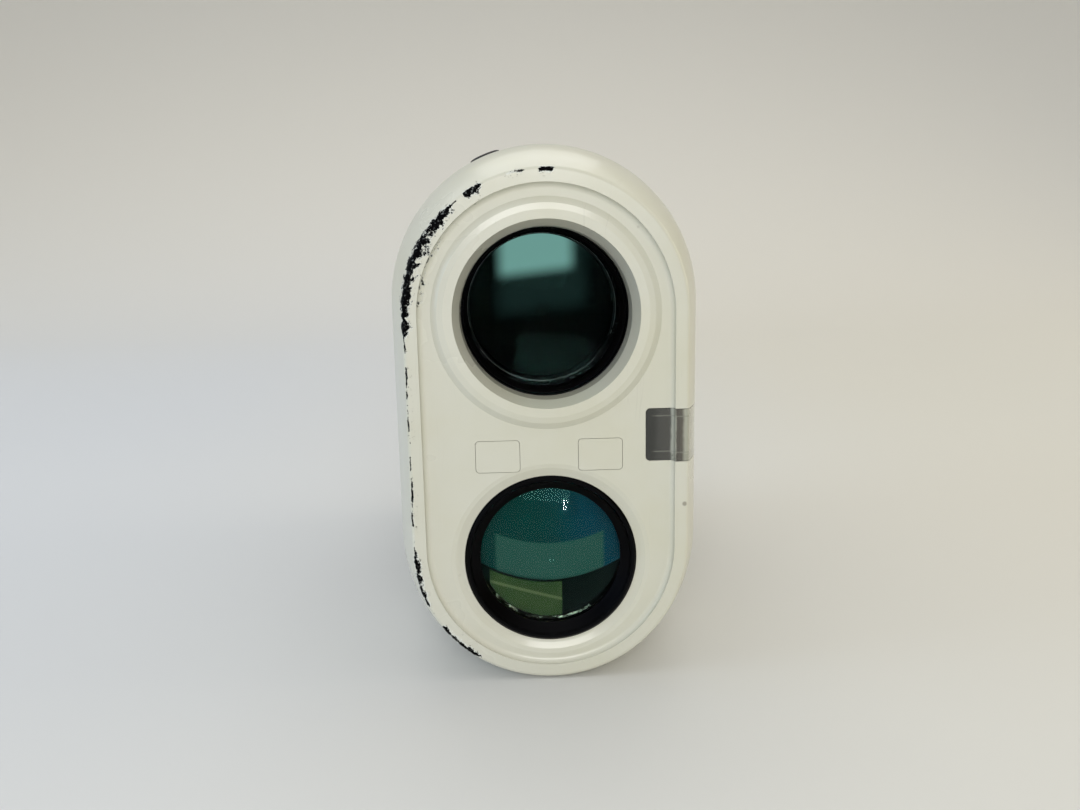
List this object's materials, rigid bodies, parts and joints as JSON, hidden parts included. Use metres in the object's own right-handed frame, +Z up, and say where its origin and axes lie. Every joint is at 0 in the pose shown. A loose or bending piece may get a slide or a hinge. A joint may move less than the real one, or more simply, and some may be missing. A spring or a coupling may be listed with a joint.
{
  "type": "laser rangefinder",
  "caption": "Compact hand-held laser rangefinder: objective over receiver lens in a rimmed slot face, side grips, focus ring, twist-up eyecup and hinged battery door.",
  "frame": {"origin": "centre of the footprint, at the flat underside", "axes": "+Z up, the front face looks along -Y, +X to the right as seen from the front"},
  "size_m": [0.0428, 0.098, 0.0731],
  "materials": {
    "white_paint": "white gloss paint on black plastic, chipped along the rim",
    "black_plastic": "satin moulded black plastic",
    "black_aluminium": "matt black anodised",
    "soft_rubber": "fine matt rubber",
    "smoked_window": "smoked translucent plastic, glossy",
    "objective_glass": "teal coated optical glass",
    "receiver_glass": "green coated optical glass",
    "eyepiece_glass": "violet coated optical glass",
    "prism_glass": "polished optical glass",
    "display_glass": "clear display glass",
    "filter_glass": "dark infrared filter",
    "steel": "stainless",
    "gilt_metal": "gold plated",
    "tinned_metal": "tinned sheet",
    "circuit_board": "green solder mask",
    "chip_plastic": "moulded epoxy",
    "battery_wrap": "plain glossy wrap"
  },
  "bodies": {
    "case": {"front_cover": "white_paint", "housing_left": "white_paint", "housing_right": "white_paint", "rear_cover": "white_paint", "screw_cover_left": "white_paint", "screw_cover_right": "white_paint", "status_window": "smoked_window", "grip_left": "soft_rubber", "grip_right": "soft_rubber", "front_gasket": "soft_rubber", "rear_gasket": "soft_rubber", "front_screws": "steel", "housing_screws": "steel", "rear_screws": "steel", "objective_barrel": "black_aluminium", "objective_seal": "soft_rubber", "objective_retainer": "black_aluminium", "objective_lens_crown": "objective_glass", "objective_lens_flint": "objective_glass", "prism_holder": "black_plastic", "roof_prism": "prism_glass", "half_penta_prism": "prism_glass", "laser_mount": "black_aluminium", "laser_diode": "gilt_metal", "display_module": "display_glass", "eyepiece_barrel": "black_plastic", "receiver_ring": "black_plastic", "receiver_lens": "receiver_glass", "receiver_baffle": "black_plastic", "receiver_filter": "filter_glass", "detector_diode": "gilt_metal", "detector_board": "circuit_board", "detector_shield": "tinned_metal", "main_board": "circuit_board", "board_chips": "chip_plastic", "button_board": "circuit_board", "button_switches": "tinned_metal", "status_board": "circuit_board", "lanyard_bar": "steel", "battery": "battery_wrap", "battery_sleeve": "black_plastic", "battery_contact": "gilt_metal", "door_hinge_pin": "steel"},
    "power_button": {"power_button": "soft_rubber"},
    "mode_button": {"mode_button": "soft_rubber"},
    "slope_slider": {"slope_slider": "black_plastic"},
    "diopter_ring": {"diopter_ring": "black_plastic"},
    "eyepiece_cell": {"eyepiece_cell": "black_aluminium", "eyepiece_lens_front": "eyepiece_glass", "eyepiece_lens_rear": "eyepiece_glass", "diopter_pin": "steel"},
    "eyecup_ring": {"eyecup_ring": "black_plastic"},
    "eyecup": {"eyecup": "soft_rubber"},
    "battery_door": {"battery_door": "white_paint", "door_contact": "gilt_metal", "door_seal": "soft_rubber"}
  },
  "joints": [
    {"name": "power_press", "type": "slide", "parent": "case", "child": "power_button", "axis": [0.3584, 0, -0.9336], "range_m": [0, 0.0005], "stiffness_N_per_m": 1500},
    {"name": "mode_press", "type": "slide", "parent": "case", "child": "mode_button", "axis": [1, 0, 0], "range_m": [0, 0.0005], "stiffness_N_per_m": 1500},
    {"name": "slope_slide", "type": "slide", "parent": "case", "child": "slope_slider", "axis": [0, 1, 0], "range_m": [-0.002, 0.002]},
    {"name": "diopter_turn", "type": "hinge", "parent": "case", "child": "diopter_ring", "pos_m": [0, 0.0383, 0.05055], "axis": [0, 1, 0], "range_deg": [-120, 120]},
    {"name": "cell_focus", "type": "slide", "parent": "case", "child": "eyepiece_cell", "axis": [0, 1, 0], "range_m": [-0.00089, 0.00089]},
    {"name": "eyecup_turn", "type": "hinge", "parent": "case", "child": "eyecup_ring", "pos_m": [0, 0.0436, 0.05055], "axis": [0, 1, 0], "range_deg": [0, 90]},
    {"name": "eyecup_rise", "type": "slide", "parent": "eyecup_ring", "child": "eyecup", "axis": [0, 1, 0], "range_m": [0, 0.004]},
    {"name": "door_swing", "type": "hinge", "parent": "case", "child": "battery_door", "pos_m": [0, 0.0349, 0.0044], "axis": [-1, 0, 0], "range_deg": [0, 95]}
  ],
  "couplings": [
    {"joint": "diopter_turn", "follows": "cell_focus", "rad_per_m": 2353},
    {"joint": "eyecup_rise", "follows": "eyecup_turn", "m_per_rad": 0.0025}
  ]
}
